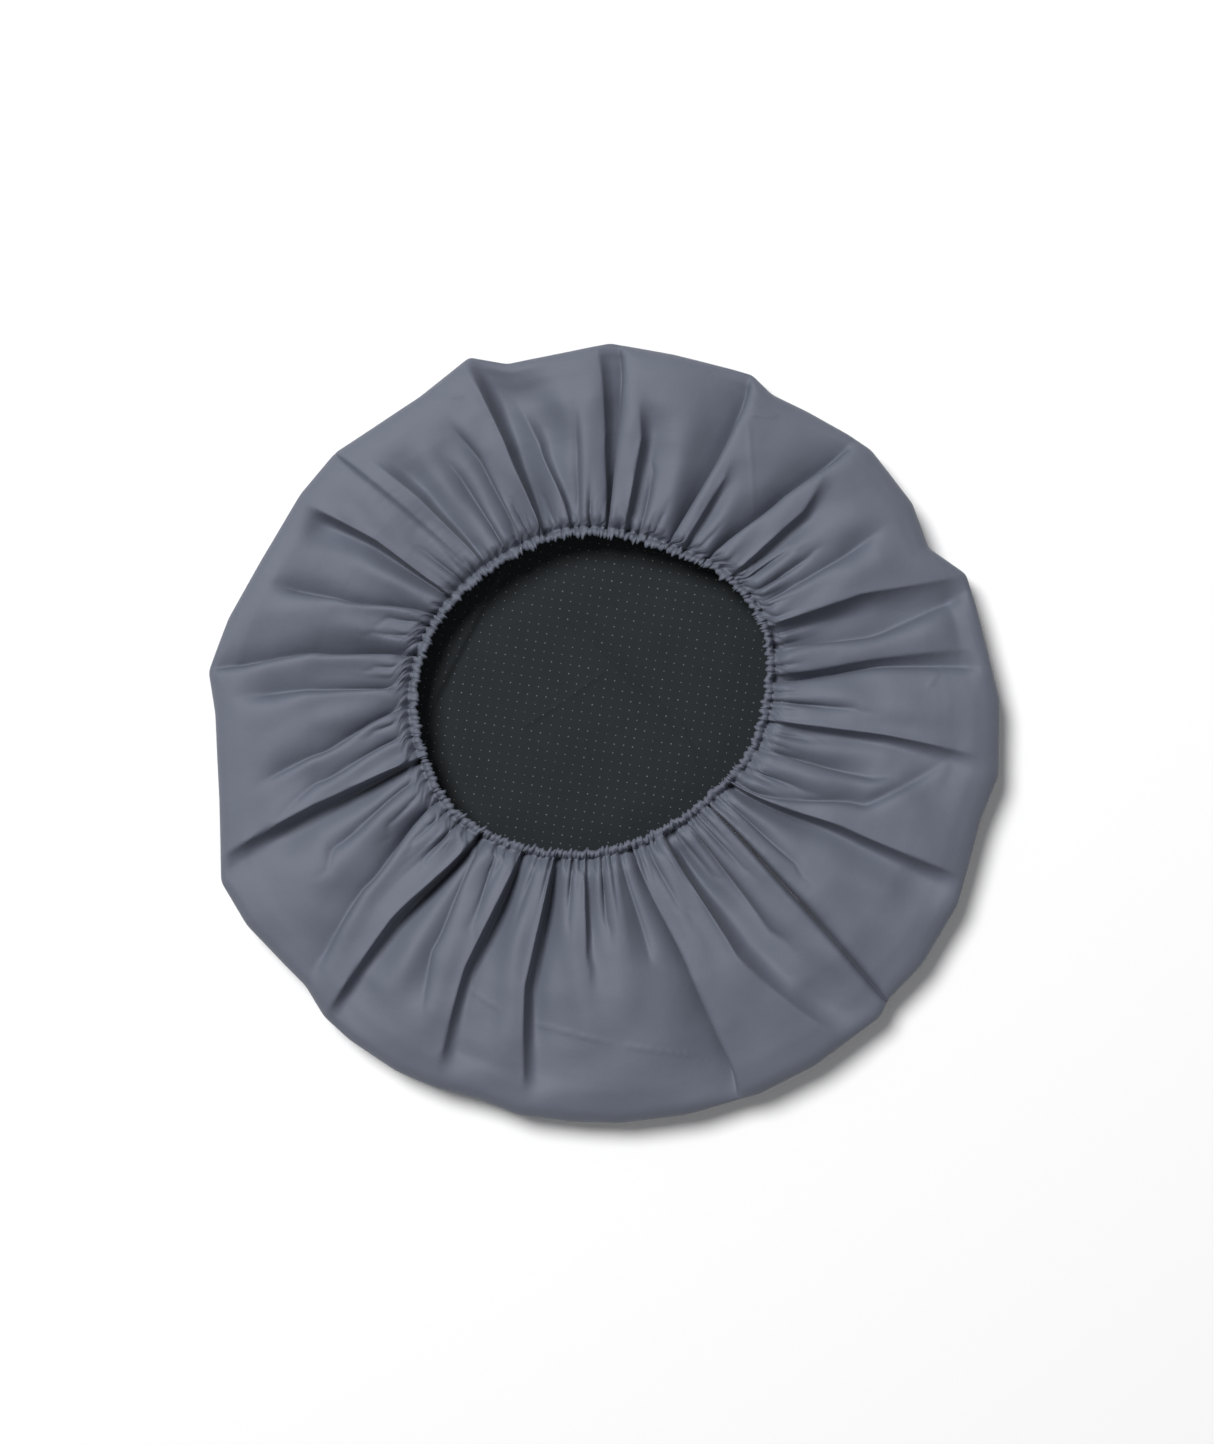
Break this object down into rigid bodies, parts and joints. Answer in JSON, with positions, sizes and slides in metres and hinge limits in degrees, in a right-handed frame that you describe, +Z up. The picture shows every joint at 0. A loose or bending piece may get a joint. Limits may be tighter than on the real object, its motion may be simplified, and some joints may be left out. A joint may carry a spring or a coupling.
{
  "type": "spare tire cover",
  "caption": "Round fabric spare tyre cover, empty and lying on its front: a gathered back drawn in by an elastic hem round an oval mouth, with a dotted lining inside.",
  "frame": {"origin": "on the surface the cover lies on, under the centre of its outline's box", "axes": "+Z up, out of the elastic mouth; -Z is the cover's front; +X and +Y run across the front, with the mouth's centre off towards +Y"},
  "size_m": [0.705, 0.705, 0.062],
  "materials": {
    "cover_fabric": "matte",
    "lining_fabric": "matte",
    "binding_tape": "matte",
    "sewing_thread": "satin",
    "elastic_cord": "matte"
  },
  "bodies": {
    "root": {"front_face": "cover_fabric", "front_lining": "lining_fabric", "band_lower_half": "cover_fabric", "band_upper_half": "cover_fabric", "perimeter_binding": "binding_tape", "perimeter_stitching": "sewing_thread", "side_seam_stitching_left": "sewing_thread", "side_seam_stitching_right": "sewing_thread", "hem_stitching": "sewing_thread", "hem_elastic": "elastic_cord", "elastic_join": "sewing_thread"}
  },
  "joints": []
}
